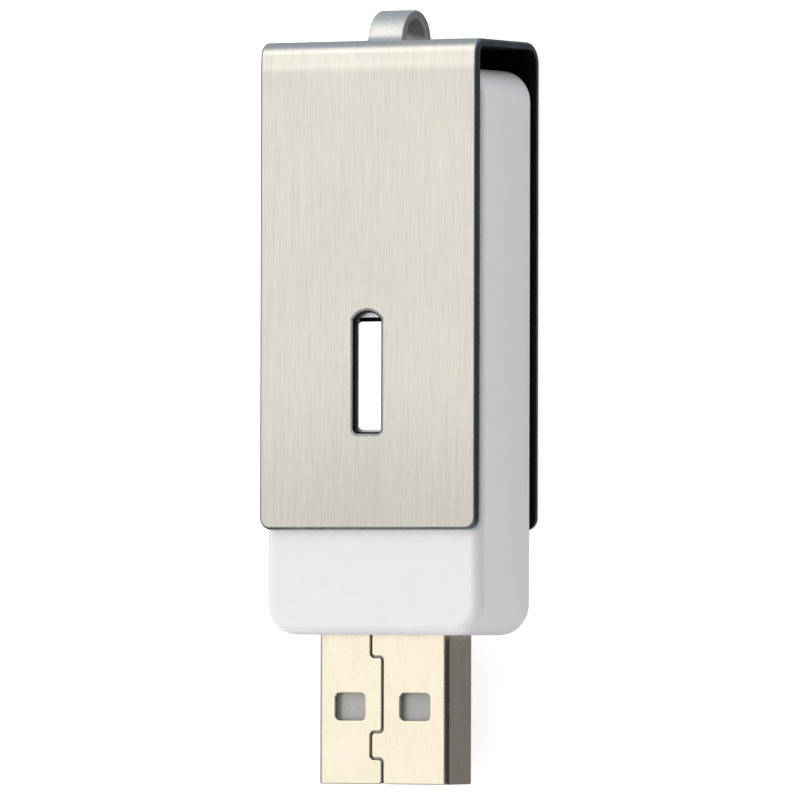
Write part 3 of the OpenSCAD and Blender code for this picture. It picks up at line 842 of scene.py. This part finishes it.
def blend(factor, first, second):
    """The first colour where the factor is 0 and the second where it is 1. Each is a tuple or a socket."""
    made = world_nodes.new("ShaderNodeMix")
    made.data_type = "RGBA"
    for held, colour in ((made.inputs[MIX_FIRST], first), (made.inputs[MIX_SECOND], second)):
        if isinstance(colour, tuple):
            held.default_value = (*colour, 1)
        else:
            world_links.new(colour, held)
    world_links.new(factor, made.inputs[MIX_FACTOR])
    return made.outputs[MIX_RESULT]


SKY_TOP, SKY_FAR, SKY_NEAR = (1.0, 0.995, 0.98), (1.35, 1.34, 1.32), (0.45, 0.47, 0.50)
SKY_RIGHT, SKY_LOW, SKY_END = (0.03, 0.031, 0.038), (0.19, 0.19, 0.204), (0.36, 0.41, 0.5)
SKY_CORNER = (0.6, 0.61, 0.63)
SKY_TILT = -0.2  # share of Y added to Z, so that the bright part ends higher beyond the key loop
height = world_nodes.new("ShaderNodeMath")
height.operation = "MULTIPLY_ADD"
height.inputs[1].default_value = SKY_TILT
world_links.new(split.outputs["Y"], height.inputs[0])
world_links.new(split.outputs["Z"], height.inputs[2])
open_sky = blend(ramp(split.outputs["Y"], 0.05, 0.4), SKY_TOP, SKY_FAR)
open_sky = blend(ramp(split.outputs["Y"], -0.75, -0.4), SKY_NEAR, open_sky)
off_axis = world_nodes.new("ShaderNodeMath")  # the dark part on the right is narrow
off_axis.operation = "ABSOLUTE"
world_links.new(split.outputs["Y"], off_axis.inputs[0])
right_sky = blend(ramp(off_axis.outputs[0], 0.35, 0.6), SKY_RIGHT, SKY_CORNER)
upper_sky = blend(ramp(split.outputs["X"], 0.1, 0.6), open_sky, right_sky)
lower_sky = blend(ramp(split.outputs["Y"], 0.4, 0.7), SKY_LOW, SKY_END)
lower_sky = blend(ramp(split.outputs["X"], 0.6, 0.8), lower_sky, right_sky)
world_links.new(blend(ramp(height.outputs[0], 0.0, 0.55), lower_sky, upper_sky), sky.inputs["Color"])
sky.inputs["Strength"].default_value = 1.0

backdrop = world_nodes.new("ShaderNodeBackground")
backdrop.inputs["Color"].default_value = (1, 1, 1, 1)
backdrop.inputs["Strength"].default_value = 1.0
seen = world_nodes.new("ShaderNodeLightPath")
choose = world_nodes.new("ShaderNodeMixShader")
world_links.new(seen.outputs["Is Camera Ray"], choose.inputs[0])
world_links.new(sky.outputs[0], choose.inputs[1])
world_links.new(backdrop.outputs[0], choose.inputs[2])
world_links.new(choose.outputs[0], world_nodes["World Output"].inputs[0])


def soft_light(name, place, size, power, colour):
    """A round area light that faces the origin and doesn't show in reflections. Metres and watts."""
    lamp = bpy.data.lights.new(name, "AREA")
    lamp.shape = "DISK"
    lamp.size = size
    lamp.energy = power
    lamp.color = colour
    made = bpy.data.objects.new(name, lamp)
    made.location = place
    made.rotation_euler = (-made.location).to_track_quat("-Z", "Y").to_euler()
    made.visible_glossy = False
    bpy.context.scene.collection.objects.link(made)


soft_light("key_light", (-0.32, -0.10, 0.62), 0.5, 1.95, (1.0, 0.985, 0.97))
soft_light("end_light", (-0.10, -0.65, 0.12), 0.4, 0.45, (1.0, 1.0, 1.0))

# The camera that was fitted to the photo, in millimetres
YAW, PITCH, ROLL = math.radians(29.14), math.radians(1.0), math.radians(0.137)
CAMERA_DISTANCE = 979.2
MIDDLE_Y, MIDDLE_Z, SHIFT_RIGHT, SHIFT_UP = -1.575, 5.84, 0.291, 1.319
LENS, SENSOR = 540.0, 36.0
back = Vector((math.sin(YAW) * math.cos(PITCH), -math.sin(PITCH), math.cos(YAW) * math.cos(PITCH)))
right = Vector((math.cos(YAW), 0, -math.sin(YAW)))
up = back.cross(right)
target = Vector((0, MIDDLE_Y, MIDDLE_Z)) + right * SHIFT_RIGHT + up * SHIFT_UP
camera = bpy.data.objects.new("camera", bpy.data.cameras.new("camera"))
camera.data.lens = LENS
camera.data.sensor_width = SENSOR
camera.data.clip_start = 0.01
turn = Matrix((right, up, back)).transposed() @ Matrix.Rotation(ROLL, 3, "Z")
camera.matrix_world = Matrix.Translation((target + back * CAMERA_DISTANCE) * MM) @ turn.to_4x4()
bpy.context.scene.collection.objects.link(camera)
bpy.context.scene.camera = camera
bpy.context.scene.view_settings.view_transform = "Standard"
